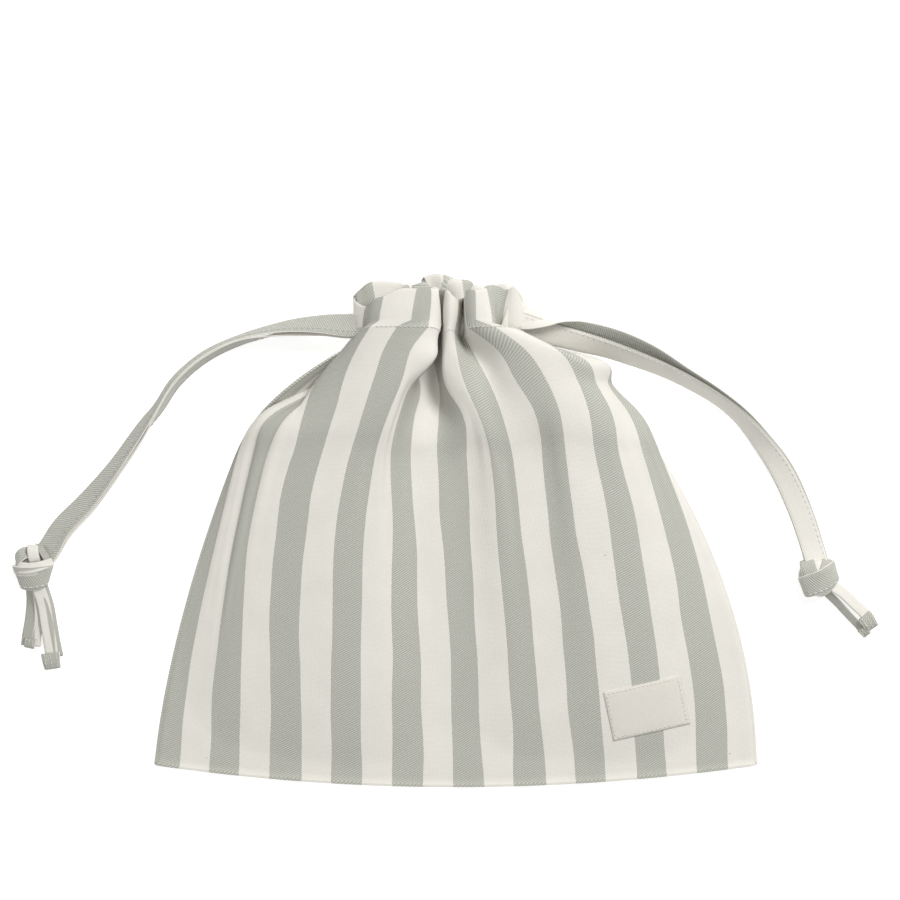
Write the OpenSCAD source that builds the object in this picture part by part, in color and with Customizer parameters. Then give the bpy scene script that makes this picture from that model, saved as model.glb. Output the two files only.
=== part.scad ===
// A cotton drawstring bag lying on its back, with its mouth gathered by two flat drawstrings.
// Millimetres. +Z is up and +Y points to the mouth. The origin is under the middle of the bag.

/* [Bag body] */
// Width across the bottom corners
bag_width = 360; // [320:2:400]
// Length from the middle of the bottom edge to the top of the back heading
bag_length = 304; // [290:2:330]
// How far the middle of the bottom edge bows below the corners
bottom_bow = 13; // [4:1:20]
// Thickness of one layer of cloth, with its creases
cloth = 1.4; // [1:0.1:1.8]
// Width of the stitched seams round the edge
seam_width = 2.5; // [2:0.1:4]
// Height of the hollow inside the bag under the gathered front
inside_rise = 28; // [26:1:30]

/* [Mouth] */
// Sideways place of the gathered mouth, which is pulled a little to the left
mouth_x = -10; // [-14:1:0]
// Length of each gathered casing
casing_span = 100; // [94:1:106]
// Height of a casing from its stitching to its folded top
casing_height = 26; // [26:1:30]
// Thickness of a gathered casing
casing_depth = 12; // [12:0.5:14]
// Height of the front of the mouth opening, between the two casings
mouth_gap = 9; // [7:0.5:10]
// How far the back heading stands above the front one
heading = 5; // [0:1:8]
// Number of pleats in a gathered casing
pleats = 6; // [4:1:8]

/* [Drawstrings] */
// Width of the folded tape
tape_width = 14; // [12:0.5:14]
// Thickness of the folded tape
tape_thick = 1.6; // [1.2:0.1:1.8]
// Width of the tape where it is bunched in its turn round the mouth
bight_width = 8; // [6:0.5:8]
// Diameter of a knot
knot_d = 26; // [22:1:30]
// Height of a knot
knot_h = 14; // [10:1:16]

/* [Label] */
// Width of the label
label_width = 47; // [30:1:60]
// Height of the label
label_height = 30; // [20:1:36]
// Turn of the label on the cloth, in degrees
label_turn = 12.5; // [0:0.5:20]

/* [Hidden] */
cream = [0.87, 0.85, 0.81];
sage = [0.66, 0.69, 0.64];
thread_colour = [0.93, 0.91, 0.86];

// Edge of the bag, seen from above
top_y = bag_length / 2;
corner_y = bottom_bow - top_y;
casing_y = top_y - heading - casing_height;  // where the casings are stitched
closing_y = casing_y + 7;                    // where the two side edges would meet
side_power = 1.5;
side_round = 0.4;
slope_step = 0.5;
widest_seam = 8;                             // the seam's width along X where its edge runs askew

// Grid of the panels: columns across, rows up, closer together towards the neck
columns = 36;
rows = 22;
row_crowding = 1.3;
tack_rows = 3;
panel_y = corner_y + seam_width;
panel_run = casing_y - panel_y;
layer_gap = 0.2;
front_z = cloth + layer_gap;                 // underside of the front layer at its edge
seam_height = front_z + cloth;
tack_height = seam_height + 0.8;
dome_power = 2.5;
rise_power = 0.6;
fold_depth = 1.2;
folds = 4;

// Casings and their tunnels
front_casing_z = casing_depth + mouth_gap;
mouth_z = casing_depth + mouth_gap / 2;      // middle of the mouth
tunnel_wall_y = 1.2;
tunnel_height = casing_height - 2 * tunnel_wall_y;
tunnel_depth = 6.4;
tunnel_y = casing_y + tunnel_wall_y;
pleat_depth = 1.2;
steps_per_pleat = 10;
stitch_y = casing_y + 2;
thread_width = 0.7;
thread_thick = 0.5;

// The two drawstrings cross in the tunnels, one layer above the other
layer_offset = 1.5;                          // of each tape from the middle of its tunnel
tape_gap = 0.4;
low_y = tunnel_y + tape_gap + tape_width / 2;
high_y = tunnel_y + tunnel_height - tape_gap - tape_width / 2;
bight_y = tunnel_y + tunnel_height - tape_gap - bight_width / 2;
lead_out = 26;                               // from the casing's end to where a free end may swing
bight_out = 6;                               // from the casing's end to the start of the turn
straight_lead = 20;                          // straight part of a run inside each end of the casing
swing_gap = 1.2;
stack_gap = 0.5;                             // between the tapes where they lie on each other
low_z = tape_thick / 2 + 0.3;
high_z = low_z + tape_thick + stack_gap;

// Routes of the free ends: [x, y, height of the front tape, height of the back tape]
left_route = [[-103, 127.5, 25, 2.8], [-115, 123, 17.5, 1.3],
    [-128, 117, 9.5, 1.1], [-141, 110, 4.5, 1.1], [-155, 101.5, 3.2, 1.1], [-168, 88, 3.2, 1.1],
    [-182, 70, 3.2, 1.1], [-194, 55, 3.2, 1.1], [-206, 41, 3.2, 1.1], [-218, 28, 3.2, 1.1],
    [-230, 14, 3.2, 1.1], [-239, 1, 3.2, 1.1], [-246, -11, 3.4, 1.6]];
right_route = [[83, 125.5, 21.5, 4.8], [94, 119, 14.5, 2.4],
    [106, 111.5, 8.5, 1.2], [118, 104.5, 4.4, 1.1], [130, 98.5, 3.2, 1.1], [148, 88.5, 3.2, 1.1],
    [167, 73, 3.2, 1.1], [184, 54, 3.2, 1.1], [196, 36, 3.2, 1.1], [203, 21, 3.2, 1.1],
    [209, 3, 3.2, 1.1], [214, -14, 3.4, 1.6]];
back_offset = 4;                             // sideways bulge of the back tape beside the front one
left_knot_at = [-252, -21];
right_knot_at = [217, -26];
left_front_tail_route = [[-249, -30, 8], [-243, -44, 3.2], [-240, -60, 3.2], [-236, -78, 3.2]];
left_back_tail_route = [[-254, -30, 2.5], [-257, -42, 1.1], [-257, -55, 1.1], [-256, -68, 1.1]];
right_front_tail_route = [[221, -34, 8], [229, -42, 3.2], [238, -49, 3.2], [246, -56, 3.2]];
right_back_tail_route = [[219, -36, 2.5], [226, -44, 1.1], [234, -51, 1.1], [242, -58, 1.1]];

// Label and its stitching
label_at = [114, -105];
label_thick = 0.8;
label_sink = 0.3;
label_columns = 8;
label_rows = 5;
label_hem = 2;

function half_width(y) =
    bag_width / 2 * pow(1 - pow(max(0, y - corner_y) / (closing_y - corner_y), side_power), side_round);
function side_slope(y) = (half_width(y - slope_step) - half_width(y)) / slope_step;
function inner_half_width(y) =
    half_width(y) - min(widest_seam, seam_width * sqrt(1 + pow(side_slope(y), 2)));
function row_share(j) = 1 - pow(1 - j / rows, row_crowding);
function row_y(v) = panel_y + v * panel_run;
function bow(u) = bottom_bow * (1 - u * u);
function dome(u) = 1 - pow(abs(u), dome_power);
function inside_z(u, v) =
    front_z + inside_rise * pow(v, rise_power) * dome(u)
    + fold_depth * v * v * (1 - u * u) * cos(360 * folds * u);
function panel_point(u, v, z) =
    [u * inner_half_width(row_y(v)), row_y(v) - (1 - v) * bow(u), z];

// Height of the front panel's outer face over a point of the plan
function share_at(u, y) = (y - panel_y + bow(u)) / (panel_run + bow(u));
function front_face_z(x, y) =
    let (u = x / inner_half_width(y), v = share_at(u, y))
    inside_z(x / inner_half_width(row_y(v)), v) + cloth;

function pleat_z(x) = pleat_depth * cos(360 * pleats * (x - mouth_x) / casing_span);

// Each four-sided face as two triangles
function halves(quads) = [for (q = quads, half = [[q[0], q[1], q[2]], [q[0], q[2], q[3]]]) half];

// A closed sheet between two grids of points, each of n_rows + 1 rows of n_columns + 1
module closed_sheet(lower, upper, n_columns, n_rows) {
    row = n_columns + 1;
    size = row * (n_rows + 1);
    top_faces = [for (j = [0 : n_rows - 1], i = [0 : n_columns - 1])
        let (a = size + j * row + i) [a, a + row, a + row + 1, a + 1]];
    bottom_faces = [for (j = [0 : n_rows - 1], i = [0 : n_columns - 1])
        let (a = j * row + i) [a, a + 1, a + row + 1, a + row]];
    near_edge = [for (i = [0 : n_columns - 1]) [i, size + i, size + i + 1, i + 1]];
    far_edge = [for (i = [0 : n_columns - 1])
        let (a = n_rows * row + i) [a, a + 1, size + a + 1, size + a]];
    left_edge = [for (j = [0 : n_rows - 1])
        let (a = j * row) [a, a + row, size + a + row, size + a]];
    right_edge = [for (j = [0 : n_rows - 1])
        let (a = j * row + n_columns) [a, size + a, size + a + row, a + row]];
    quads = concat(top_faces, bottom_faces, near_edge, far_edge, left_edge, right_edge);
    polyhedron(concat(lower, upper), halves(quads));
}

// A flat strip with chamfered edges, swept along points with its width level
module strip(route, width, thick) {
    n = len(route);
    c = thick / 4;
    w = width / 2;
    t = thick / 2;
    profile = [[w, c - t], [w, t - c], [w - c, t], [c - w, t],
        [-w, t - c], [-w, c - t], [c - w, -t], [w - c, -t]];
    sides = len(profile);
    points = [for (i = [0 : n - 1])
        let (d = route[min(i + 1, n - 1)] - route[max(i - 1, 0)], side = [d.y, -d.x, 0] / norm([d.x, d.y]))
        for (p = profile) route[i] + side * p[0] + [0, 0, p[1]]];
    walls = [for (i = [0 : n - 2], k = [0 : sides - 1])
        let (a = i * sides + k, b = i * sides + (k + 1) % sides) [a, a + sides, b + sides, b]];
    start = [for (k = [0 : sides - 1]) k];
    end = [for (k = [0 : sides - 1]) n * sides - 1 - k];
    polyhedron(points, concat([start, end], halves(walls)));
}

module front_panel() {
    lower = [for (j = [0 : rows], i = [-columns / 2 : columns / 2])
        let (u = 2 * i / columns, v = row_share(j)) panel_point(u, v, inside_z(u, v))];
    upper = [for (p = lower) p + [0, 0, cloth]];
    color(cream) closed_sheet(lower, upper, columns, rows);
}

module back_panel() {
    bottom_edge = [for (i = [-columns / 2 : columns / 2]) panel_point(2 * i / columns, 0, 0)];
    right_edge = [for (j = [1 : rows]) panel_point(1, row_share(j), 0)];
    left_edge = [for (j = [rows : -1 : 1]) panel_point(-1, row_share(j), 0)];
    color(cream) linear_extrude(cloth)
        polygon([for (p = concat(bottom_edge, right_edge, left_edge)) [p.x, p.y]]);
}

// A strip of side seam between two rows; side is 1 on the right and -1 on the left
module seam_strip(side, first_row, last_row, height) {
    ys = [for (j = [first_row : last_row]) row_y(row_share(j))];
    outer = [for (y = ys) [side * half_width(y), y]];
    inner = [for (k = [len(ys) - 1 : -1 : 0]) [side * inner_half_width(ys[k]), ys[k]]];
    linear_extrude(height) polygon(concat(outer, inner));
}

module side_seam(side) {
    color(cream) seam_strip(side, 0, rows - tack_rows, seam_height);
}

module opening_tack(side) {
    color(thread_colour) seam_strip(side, rows - tack_rows, rows, tack_height);
}

module bottom_seam() {
    outer = [for (i = [-columns / 2 : columns / 2])
        let (u = 2 * i / columns) [u * half_width(corner_y), corner_y - bow(u)]];
    inner = [for (i = [columns / 2 : -1 : -columns / 2])
        let (p = panel_point(2 * i / columns, 0, 0)) [p.x, p.y]];
    right_end = [[half_width(panel_y), panel_y]];
    left_end = [[-half_width(panel_y), panel_y]];
    color(cream) linear_extrude(seam_height)
        polygon(concat(outer, right_end, inner, left_end));
}

// A gathered casing: a bar with pleats on its free face and a tunnel along it for both drawstrings
module casing(floor_z, height, pleats_up) {
    n = pleats * steps_per_pleat;
    xs = [for (i = [0 : n]) mouth_x + casing_span * (i / n - 0.5)];
    wavy = [for (x = xs) [x, floor_z + casing_depth - pleat_depth + (pleats_up ? pleat_z(x) : 0)]];
    plain = [[xs[n], floor_z], [xs[0], floor_z]];
    difference() {
        translate([0, casing_y + height, 0]) rotate([90, 0, 0])
            linear_extrude(height) polygon(concat(wavy, plain));
        translate([mouth_x - casing_span, tunnel_y, floor_z + (casing_depth - tunnel_depth) / 2])
            cube([2 * casing_span, tunnel_height, tunnel_depth]);
    }
}

module front_casing() {
    color(sage) casing(front_casing_z, casing_height, true);
}

module back_casing() {
    color(sage) casing(0, casing_height + heading, false);
}

// A line of thread on the top face of a casing
module casing_stitching(face_z, pleated) {
    n = pleats * steps_per_pleat / 2;
    route = [for (i = [0 : n])
        let (x = mouth_x + (casing_span - 4) * (i / n - 0.5))
        [x, stitch_y, face_z + (pleated ? pleat_z(x) : 0)]];
    color(thread_colour) strip(route, thread_width, thread_thick);
}

// A point of the label, from its own width and height to its place on the front panel
function label_point(a, b, lift) =
    let (x = label_at.x + a * cos(label_turn) - b * sin(label_turn),
        y = label_at.y + a * sin(label_turn) + b * cos(label_turn))
    [x, y, front_face_z(x, y) + lift];

module label() {
    spots = [for (j = [0 : label_rows], i = [0 : label_columns])
        [label_width * (i / label_columns - 0.5), label_height * (j / label_rows - 0.5)]];
    lower = [for (s = spots) label_point(s[0], s[1], -label_sink)];
    upper = [for (s = spots) label_point(s[0], s[1], label_thick - label_sink)];
    color([0.9, 0.88, 0.83]) closed_sheet(lower, upper, label_columns, label_rows);
}

module label_stitching() {
    a = label_width / 2 - label_hem;
    b = label_height / 2 - label_hem;
    lift = label_thick - label_sink + thread_thick / 4;
    corners = [[-a, -b], [a, -b], [a, b], [-a, b]];
    color(thread_colour) for (k = [0 : 3])
        let (from = corners[k], to = corners[(k + 1) % 4], inset = (to - from) / norm(to - from))
        strip([for (t = [0 : 0.25 : 1])
            let (p = from + inset + t * (to - from - 2 * inset)) label_point(p[0], p[1], lift)],
            thread_width, thread_thick);
}

// Height of a string's tape in its tunnel; side is -1 for the left string, which keeps outermost
function run_z(side, front) =
    let (middle = front ? front_casing_z + casing_depth / 2 : casing_depth / 2)
    middle + (front ? -1 : 1) * side * layer_offset;
function exit_x(side) = mouth_x + side * (casing_span / 2 + lead_out);

// The part of a drawstring inside one casing: low where it leaves, high where it turns back,
// with a round end that its free end swings about
module run(side, front) {
    far_x = mouth_x - side * (casing_span / 2 + bight_out);
    near_bend = mouth_x + side * (casing_span / 2 - straight_lead);
    far_bend = mouth_x - side * (casing_span / 2 - straight_lead);
    w = tape_width / 2;
    outline = [[exit_x(side), low_y - w], [near_bend, low_y - w],
        [far_bend, bight_y - bight_width / 2], [far_x, bight_y - bight_width / 2],
        [far_x, bight_y + bight_width / 2], [far_bend, high_y + w], [near_bend, low_y + w],
        [exit_x(side), low_y + w]];
    turned = [for (k = [0 : len(outline) - 1]) outline[side < 0 ? k : len(outline) - 1 - k]];
    color(sage) translate([0, 0, run_z(side, front) - tape_thick / 2]) linear_extrude(tape_thick) {
        polygon(turned);
        translate([exit_x(side), low_y]) circle(d = tape_width, $fn = 48);
    }
}

// The turn of a drawstring round the far side of the mouth, from the front casing to the back one
module bight(side) {
    start_x = mouth_x - side * (casing_span / 2 + bight_out);
    r = run_z(side, true) - mouth_z;
    color(sage) translate([start_x, bight_y + bight_width / 2, mouth_z]) rotate([90, 0, 0])
        linear_extrude(bight_width) difference() {
            circle(r = r + tape_thick / 2, $fn = 64);
            circle(r = r - tape_thick / 2, $fn = 64);
            translate([side > 0 ? 0 : -2 * r, -2 * r]) square([2 * r, 4 * r]);
        }
}

function route_of(side) = side < 0 ? left_route : right_route;

// The free part of a tape, from where it may swing to the knot
module free_end(side, front) {
    route = route_of(side);
    n = len(route);
    start = [exit_x(side) + side * (tape_width / 2 + swing_gap), low_y, run_z(side, front)];
    points = [for (i = [0 : n - 1])
        let (p = route[i], d = route[min(i + 1, n - 1)] - route[max(i - 1, 0)],
            outward = side * [-d.y, d.x] / norm([d.x, d.y]),
            shift = front ? 0 : back_offset * sin(180 * (i + 1) / n))
        [p.x + outward.x * shift, p.y + outward.y * shift, front ? p[2] : p[3]]];
    color(front ? sage : cream) strip(concat([start], points), tape_width, tape_thick);
}

module knot(at) {
    color(cream) translate([at.x, at.y, 0]) intersection() {
        translate([0, 0, knot_h / 2]) sphere(d = knot_d, $fn = 48);
        translate([-knot_d, -knot_d, 0]) cube([2 * knot_d, 2 * knot_d, knot_h]);
    }
}

module tail(route) {
    color(sage) strip(route, tape_width, tape_thick);
}

front_panel();
back_panel();
front_casing();
back_casing();
side_seam(-1);  // left_side_seam
side_seam(1);  // right_side_seam
bottom_seam();
opening_tack(-1);  // left_opening_tack
opening_tack(1);  // right_opening_tack
casing_stitching(front_casing_z + casing_depth - pleat_depth + thread_thick / 4, true);  // front_casing_stitching
casing_stitching(casing_depth - pleat_depth + thread_thick / 4, false);  // back_casing_stitching
label();
label_stitching();
run(-1, true);  // left_front_run
run(-1, false);  // left_back_run
bight(-1);  // left_bight
free_end(-1, true);  // left_front_end
free_end(-1, false);  // left_back_end
knot(left_knot_at);  // left_knot
tail(left_front_tail_route);  // left_front_tail
tail(left_back_tail_route);  // left_back_tail
run(1, true);  // right_front_run
run(1, false);  // right_back_run
bight(1);  // right_bight
free_end(1, true);  // right_front_end
free_end(1, false);  // right_back_end
knot(right_knot_at);  // right_knot
tail(right_front_tail_route);  // right_front_tail
tail(right_back_tail_route);  // right_back_tail
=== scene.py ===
"""Striped cotton drawstring bag: the looks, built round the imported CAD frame. Metres, row frame."""
import math

import bpy
import numpy as np
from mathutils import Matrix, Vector
from mathutils.bvhtree import BVHTree


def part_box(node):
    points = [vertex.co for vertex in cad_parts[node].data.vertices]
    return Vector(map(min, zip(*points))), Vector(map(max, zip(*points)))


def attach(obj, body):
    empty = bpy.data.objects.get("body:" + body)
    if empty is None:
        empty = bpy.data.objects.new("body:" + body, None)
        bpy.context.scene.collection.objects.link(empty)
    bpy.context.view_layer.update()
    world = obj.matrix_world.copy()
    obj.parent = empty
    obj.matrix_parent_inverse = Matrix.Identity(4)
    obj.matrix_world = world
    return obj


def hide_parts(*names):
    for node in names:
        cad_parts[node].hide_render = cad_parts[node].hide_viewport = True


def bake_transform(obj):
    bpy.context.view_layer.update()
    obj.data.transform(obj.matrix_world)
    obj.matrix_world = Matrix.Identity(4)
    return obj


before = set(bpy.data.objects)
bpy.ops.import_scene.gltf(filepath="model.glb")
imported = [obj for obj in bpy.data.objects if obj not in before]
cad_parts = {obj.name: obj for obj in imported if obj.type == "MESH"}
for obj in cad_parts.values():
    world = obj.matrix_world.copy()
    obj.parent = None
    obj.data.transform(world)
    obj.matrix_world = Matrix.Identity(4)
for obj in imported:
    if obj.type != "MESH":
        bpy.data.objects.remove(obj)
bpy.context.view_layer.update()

MM = 0.001

# ---------------- places taken from the frame
seam_low, seam_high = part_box("bottom_seam")
casing_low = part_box("front_casing")[0]
HALF_WIDTH = seam_high[0]  # half the width across the bottom corners
BOTTOM_Y = seam_low[1]  # the middle of the bottom edge
BOTTOM_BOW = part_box("left_side_seam")[0][1] - 2.5 * MM - BOTTOM_Y
STITCH_Y = casing_low[1] + 1.0 * MM  # where the casings are stitched
STRIPE = 18.3 * MM
FIRST_STRIPE = 14.0 * MM
STRIPE_SWAY = 5.0 * MM  # times a slow noise of about 0.3 each way: the stripes waver by 1 to 1.5 mm
FLAT_LENGTH = 290 * MM  # bottom edge to casing stitching, along the cloth
CASING_RISE = 26 * MM
TAPE_WIDTH, TAPE_THICK = 14 * MM, 1.1 * MM


# ---------------- small helpers
def smooth(x, low=0.0, high=1.0):
    t = np.clip((x - low) / (high - low), 0, 1)
    return t * t * (3 - 2 * t)


def curve(keys, values, at):
    """A cubic through given values, with slopes from the neighbours."""
    k, v, at = np.asarray(keys, float), np.asarray(values, float), np.asarray(at, float)
    step = np.diff(k)
    if v.ndim > 1:  # a column of curves
        step = step[:, None]
    rise = np.diff(v, axis=0) / step
    inner = (rise[1:] * step[:-1] + rise[:-1] * step[1:]) / (step[1:] + step[:-1])
    slope = np.concatenate([rise[:1], inner, rise[-1:]])
    i = np.clip(np.searchsorted(k, at) - 1, 0, len(k) - 2)
    h = step[i]
    t = (at - k[i])[:, None] / h if v.ndim > 1 else (at - k[i]) / h
    return (
        (1 + 2 * t) * (1 - t) ** 2 * v[i] + t * (1 - t) ** 2 * h * slope[i]
        + t * t * (3 - 2 * t) * v[i + 1] + t * t * (t - 1) * h * slope[i + 1]
    )


def along(points):
    return np.concatenate([[0], np.cumsum(np.linalg.norm(np.diff(points, axis=0), axis=1))])


def route(points, n):
    """n points evenly along a smooth curve through given ones."""
    p = np.asarray(points, float)
    s = along(p)
    fine = np.stack([curve(s, p[:, k], np.linspace(0, s[-1], 40 * len(p))) for k in range(3)], 1)
    d = along(fine)
    at = np.linspace(0, d[-1], n)
    return np.stack([np.interp(at, d, fine[:, k]) for k in range(3)], 1)


def mesh_piece(name, points, faces, uv=None, loop_uv=None):
    """A mesh whose UV map holds each point's place on the flat cloth, by point or by face corner."""
    me = bpy.data.meshes.new(name)
    me.from_pydata([tuple(p) for p in points], [], [tuple(int(i) for i in f) for f in faces])
    layer = me.uv_layers.new(name="Cloth")
    if loop_uv is None:
        loops = np.empty(len(me.loops), dtype=np.int64)
        me.loops.foreach_get("vertex_index", loops)
        loop_uv = np.asarray(uv, np.float32)[loops]
    layer.uv.foreach_set("vector", np.asarray(loop_uv, np.float32).ravel())
    me.polygons.foreach_set("use_smooth", [True] * len(me.polygons))
    me.validate()
    me.update()
    ob = bpy.data.objects.new(name, me)
    bpy.context.collection.objects.link(ob)
    return ob


def grid_faces(rows, columns, flip=False, closed=False):
    j, i = np.meshgrid(np.arange(rows - 1), np.arange(columns if closed else columns - 1), indexing="ij")
    a = j * columns + i
    b = j * columns + (i + 1) % columns
    quads = np.stack([a, b, b + columns, a + columns], -1).reshape(-1, 4)
    return quads[:, ::-1] if flip else quads


# ---------------- camera, before everything else
CAMERA_AT = Vector((-3.6 * MM, 49.2 * MM, 1.5))
LENS, SENSOR = 100.0, 36.0
camera_data = bpy.data.cameras.new("camera")
camera_data.lens, camera_data.sensor_width = LENS, SENSOR
camera = bpy.data.objects.new("camera", camera_data)
camera.location = CAMERA_AT
bpy.context.collection.objects.link(camera)
bpy.context.scene.camera = camera


# ---------------- materials
CREAM = (0.76, 0.735, 0.675)
SAGE = (0.42, 0.43, 0.375)
RIBBON = (0.762, 0.728, 0.657)
THREAD = (0.86, 0.845, 0.79)
SAGE_THREAD = (0.54, 0.54, 0.49)
SPECK = (0.30, 0.22, 0.13)
SHADE = (0.40, 0.385, 0.34)
COTTON_FINISH = {"Roughness": 0.92, "Specular IOR Level": 0.25,
                 "Sheen Weight": 0.12, "Sheen Roughness": 0.6}
TWILL_PITCH, TWILL_SLOPE = 1.45 * MM, -0.6
WARP_PITCH, WEFT_PITCH = 0.95 * MM, 0.8 * MM
THREAD_WANDER = 0.5 * MM  # how far a thread, or a stripe's edge, strays at most
# Noise scales, per metre of cloth: slow shading, stray threads, fuzz, rough stripe edges, stripe sway
DRIFT_SCALE, WANDER_SCALE, FUZZ_SCALE, EDGE_SCALE, SWAY_SCALE = 45, 300, 900, 700, 15
SPECK_SCALE, SPECK_RARITY = 95.0, 0.80
TAPE_RIM = 0.035  # share of a tape's width that shows the other colour


class Shader:
    """A material built from numbers and node sockets."""

    def __init__(self, name):
        self.material = bpy.data.materials.new(name)
        self.material.use_nodes = True
        self.nodes, self.links = self.material.node_tree.nodes, self.material.node_tree.links
        self.surface = self.nodes["Principled BSDF"]
        for key, value in COTTON_FINISH.items():
            self.surface.inputs[key].default_value = value

    def put(self, socket, value):
        if isinstance(value, bpy.types.NodeSocket):
            self.links.new(value, socket)
        else:
            socket.default_value = value

    def node(self, kind, out=0, settings=None, **inputs):
        node = self.nodes.new("ShaderNode" + kind)
        for key, value in (settings or {}).items():
            setattr(node, key, value)
        for key, value in inputs.items():
            self.put(node.inputs[key.replace("_", " ")], value)
        return node.outputs[out]

    def math(self, operation, *values):
        node = self.nodes.new("ShaderNodeMath")
        node.operation = operation
        for socket, value in zip(node.inputs, values):
            self.put(socket, value)
        return node.outputs[0]

    def mix(self, factor, a, b):
        node = self.nodes.new("ShaderNodeMix")
        node.data_type = "RGBA"
        for socket, value in ((node.inputs[0], factor), (node.inputs[6], a), (node.inputs[7], b)):
            self.put(socket, (*value, 1) if isinstance(value, tuple) and len(value) == 3 else value)
        return node.outputs[2]

    def ramp(self, value, low, high, to_low=0.0, to_high=1.0):
        node = self.nodes.new("ShaderNodeMapRange")
        for socket, v in zip(node.inputs, (value, low, high, to_low, to_high)):
            self.put(socket, v)
        return node.outputs[0]

    def noise(self, where, scale, detail=2.0, stretch=(1, 1, 1)):
        mapped = self.node("Mapping", Vector=where, Scale=stretch)
        return self.node("TexNoise", Vector=mapped, Scale=scale, Detail=detail)

    def cloth_place(self):
        place = self.node("UVMap", settings={"uv_map": "Cloth"})
        split = self.nodes.new("ShaderNodeSeparateXYZ")
        self.links.new(place, split.inputs[0])
        return place, split.outputs[0], split.outputs[1]

    def wave(self, value, pitch):
        """0 to 1 and back over one pitch."""
        turn = self.math("MULTIPLY", value, 2 * math.pi / pitch)
        return self.math("MULTIPLY_ADD", self.math("SINE", turn), 0.5, 0.5)

    def finish(self, colour, height, depth=0.25 * MM):
        self.put(self.surface.inputs["Base Color"], colour)
        bump = self.nodes.new("ShaderNodeBump")
        bump.inputs["Strength"].default_value = 1.0
        bump.inputs["Distance"].default_value = depth
        self.links.new(height, bump.inputs["Height"])
        self.links.new(bump.outputs[0], self.surface.inputs["Normal"])
        return self.material


def times(colour, share):
    return tuple(share * k for k in colour)


def woven(sh, sage_share, place, u, v):
    """Cream plain weave where sage_share is 0, sage twill where it is 1: colour and height."""
    drift = sh.noise(place, DRIFT_SCALE, 3)
    wander = sh.math("MULTIPLY", sh.noise(place, WANDER_SCALE, 1), THREAD_WANDER)
    slanted = sh.math("ADD", sh.math("MULTIPLY_ADD", u, TWILL_SLOPE, v), wander)
    twill = sh.wave(slanted, TWILL_PITCH)
    warp = sh.wave(sh.math("ADD", u, wander), WARP_PITCH)
    rib = sh.math("SMOOTH_MIN", sh.math("MULTIPLY", twill, 1.6), 1.0, 0.3)
    rib = sh.math("MULTIPLY", rib, sh.math("MULTIPLY_ADD", warp, 0.25, 0.75))
    weft = sh.wave(sh.math("ADD", v, wander), WEFT_PITCH)
    fuzz = sh.noise(place, FUZZ_SCALE, 2, (1, 0.6, 1))
    sage = sh.mix(sh.ramp(rib, 0.15, 1.0, 1.0, 0.0), times(SAGE, 0.90), sh.mix(0.52, SAGE, CREAM))
    sage = sh.mix(sh.ramp(fuzz, 0.35, 0.75, 0.0, 0.30), sage, times(SAGE, 0.86))
    cream = sh.mix(sh.ramp(warp, 0.0, 1.0, 0.12, 0.0), CREAM, times(CREAM, 0.80))
    cream = sh.mix(sh.ramp(fuzz, 0.35, 0.8, 0.0, 0.16), cream, times(CREAM, 0.82))
    speckle, rare = (
        sh.node("TexVoronoi", out, settings={"feature": "F1"}, Vector=place, Scale=SPECK_SCALE)
        for out in (0, 1)
    )
    chosen = sh.math("GREATER_THAN", rare, SPECK_RARITY)
    dot = sh.math("MULTIPLY", sh.ramp(speckle, 0.030, 0.055, 0.75, 0.0), chosen)
    cream = sh.mix(dot, cream, SPECK)
    colour = sh.mix(sage_share, cream, sage)
    colour = sh.mix(sh.ramp(drift, 0.3, 0.7, 0.0, 0.10), colour, SHADE)
    weave = sh.math("MULTIPLY", sh.math("ADD", warp, weft), 0.22)
    height = sh.math("ADD", sh.math("MULTIPLY", sh.math("SUBTRACT", twill, weave), sage_share), weave)
    return colour, sh.math("MULTIPLY_ADD", fuzz, 0.35, height)


def striped_cotton():
    sh = Shader("striped_cotton")
    place, u, v = sh.cloth_place()
    edge = sh.math("MULTIPLY_ADD", sh.noise(place, EDGE_SCALE, 1, (0.3, 1, 1)), THREAD_WANDER, u)
    sway = sh.math("SUBTRACT", sh.noise(place, SWAY_SCALE, 1, (1.8, 1, 1)), 0.5)
    edge = sh.math("MULTIPLY_ADD", sway, STRIPE_SWAY, edge)
    turn = sh.math("FRACT", sh.math("DIVIDE", sh.math("SUBTRACT", edge, FIRST_STRIPE), 2 * STRIPE))
    sage_share = sh.math("GREATER_THAN", turn, 0.5)
    colour, height = woven(sh, sage_share, place, u, v)
    return sh.finish(colour, height)


def tape_cloth(name, sage_face):
    """Folded tape, one colour on its face, the other on its back, with the other colour at its edges."""
    sh = Shader(name)
    place, u, v = sh.cloth_place()
    across = sh.math("DIVIDE", u, TAPE_WIDTH)
    near_edge = sh.math("PINGPONG", across, 0.5)
    rim = sh.math("LESS_THAN", near_edge, TAPE_RIM)
    back = sh.math("GREATER_THAN", across, 1.0)
    other = sh.math("MAXIMUM", rim, back)
    sage_share = sh.math("SUBTRACT", 1.0, other) if sage_face else other
    colour, height = woven(sh, sage_share, place, u, v)
    return sh.finish(colour, height)


def plain(name, colour, pitch, strength=0.18):
    sh = Shader(name)
    place, u, v = sh.cloth_place()
    warp, weft = sh.wave(u, pitch), sh.wave(v, pitch * 0.8)
    fuzz = sh.noise(place, 1200, 2)
    thread = sh.math("MULTIPLY", warp, weft)
    shade = sh.math("MULTIPLY", sh.ramp(fuzz, 0.3, 0.8, 1.0, 0.0), strength)
    tinted = sh.mix(shade, colour, times(colour, 0.72))
    return sh.finish(tinted, sh.math("MULTIPLY_ADD", fuzz, 0.5, thread), 0.12 * MM)


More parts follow.
